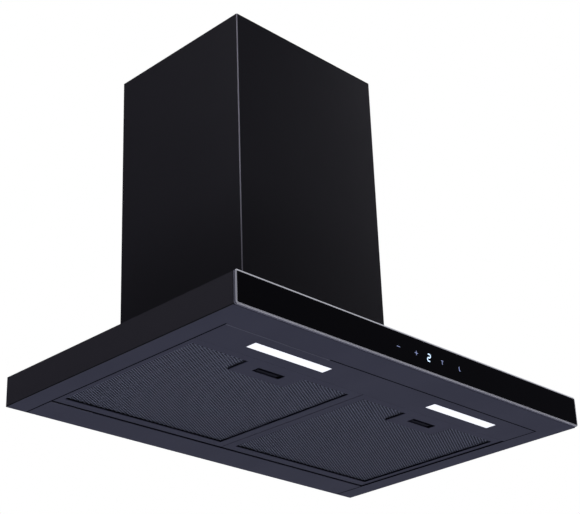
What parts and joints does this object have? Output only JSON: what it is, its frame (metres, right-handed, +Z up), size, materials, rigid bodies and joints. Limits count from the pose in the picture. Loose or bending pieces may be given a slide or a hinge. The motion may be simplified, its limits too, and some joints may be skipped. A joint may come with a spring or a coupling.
{
  "type": "chimney range hood",
  "caption": "Slim black glass-fronted chimney range hood with grease filters, strip lamps, touch controls, a blower and a telescoping chimney.",
  "frame": {"origin": "centre of the canopy's lower rear edge, on the wall plane", "axes": "+X to the hood's right, +Y towards the wall, +Z up"},
  "size_m": [0.75, 0.5, 0.653],
  "materials": {
    "black_steel": "satin black powder coat",
    "black_glass": "polished black toughened glass, ground edges",
    "filter_frame": "satin dark grey coated aluminium",
    "filter_mesh": "dark grey coated expanded aluminium",
    "filter_core": "layered aluminium mesh",
    "latch_pad": "satin dark grey",
    "latch_tab": "satin dark grey",
    "lens": "frosted white, lit",
    "lamp_tray": "white moulded",
    "led_board": "white circuit board with lamps",
    "foam": "black foam tape",
    "board": "green circuit board",
    "display": "black display module",
    "housing": "black moulded",
    "galvanised": "galvanised sheet",
    "screw_steel": "zinc-plated",
    "spring_steel": "bright spring wire",
    "collar": "black moulded",
    "flap": "grey moulded",
    "scroll": "dark grey moulded",
    "wheel": "grey moulded",
    "steel": "turned steel",
    "motor": "die cast",
    "bronze": "sintered bronze",
    "capacitor": "off-white moulded",
    "gland": "black nylon",
    "lead": "black sheath"
  },
  "bodies": {
    "hood": {"canopy_shell": "black_steel", "rear_panel": "black_steel", "lamp_panel": "black_steel", "lamp_panel_screws": "screw_steel", "lamp_tray_nuts": "screw_steel", "front_glass": "black_glass", "glass_pads": "foam", "control_housing": "housing", "touch_board": "board", "touch_pads": "foam", "digit_display": "display", "motor_box": "galvanised", "hanging_plate": "galvanised", "box_lid": "galvanised", "blower_box_screws": "screw_steel", "outlet_collar": "collar", "flap_spindle": "steel", "scroll_housing": "scroll", "motor_body": "motor", "motor_caps": "motor", "motor_bushes": "bronze", "motor_bracket": "galvanised", "run_capacitor": "capacitor", "power_box": "housing", "power_box_lid": "housing", "cable_gland": "gland", "control_lead": "lead", "lamp_leads": "lead", "motor_lead": "lead", "lower_chimney": "black_steel", "chimney_screws": "screw_steel", "lamp_lens_left": "lens", "lamp_lens_right": "lens", "lamp_tray_left": "lamp_tray", "lamp_tray_right": "lamp_tray", "led_strip_left": "led_board", "led_strip_right": "led_board", "scroll_side_left": "scroll", "scroll_side_right": "scroll"},
    "filter_left": {"filter_frame_left": "filter_frame", "filter_mesh_left": "filter_mesh", "filter_core_left": "filter_core", "latch_pad_left": "latch_pad", "latch_spring_left": "spring_steel"},
    "filter_right": {"filter_frame_right": "filter_frame", "filter_mesh_right": "filter_mesh", "filter_core_right": "filter_core", "latch_pad_right": "latch_pad", "latch_spring_right": "spring_steel"},
    "latch_left": {"latch_slider_left": "latch_tab"},
    "latch_right": {"latch_slider_right": "latch_tab"},
    "impeller": {"impeller_wheel": "wheel", "impeller_hub": "motor", "motor_shaft": "steel", "motor_rotor": "steel"},
    "flap_front": {"damper_flap_front": "flap"},
    "flap_rear": {"damper_flap_rear": "flap"},
    "chimney_top": {"upper_chimney": "black_steel", "chimney_bracket": "galvanised", "bracket_screws": "screw_steel"}
  },
  "joints": [
    {"name": "filter_left_swing", "type": "hinge", "parent": "hood", "child": "filter_left", "pos_m": [-0.168, -0.0595, 0.004], "axis": [1, 0, 0], "range_deg": [0, 60]},
    {"name": "latch_left_slide", "type": "slide", "parent": "filter_left", "child": "latch_left", "axis": [0, 1, 0], "range_m": [0, 0.004], "stiffness_N_per_m": 1200, "springref_m": -0.002, "deforming": ["latch_spring_left"]},
    {"name": "filter_right_swing", "type": "hinge", "parent": "hood", "child": "filter_right", "pos_m": [0.168, -0.0595, 0.004], "axis": [1, 0, 0], "range_deg": [0, 60]},
    {"name": "latch_right_slide", "type": "slide", "parent": "filter_right", "child": "latch_right", "axis": [0, 1, 0], "range_m": [0, 0.004], "stiffness_N_per_m": 1200, "springref_m": -0.002, "deforming": ["latch_spring_right"]},
    {"name": "impeller_spin", "type": "hinge", "parent": "hood", "child": "impeller", "pos_m": [0, -0.1, 0.16], "axis": [1, 0, 0], "continuous": true},
    {"name": "flap_front_swing", "type": "hinge", "parent": "hood", "child": "flap_front", "pos_m": [0, -0.143, 0.363], "axis": [-1, 0, 0], "range_deg": [0, 75]},
    {"name": "flap_rear_swing", "type": "hinge", "parent": "hood", "child": "flap_rear", "pos_m": [0, -0.143, 0.363], "axis": [1, 0, 0], "range_deg": [0, 75]},
    {"name": "chimney_extend", "type": "slide", "parent": "hood", "child": "chimney_top", "axis": [0, 0, 1], "range_m": [0, 0.38]}
  ]
}
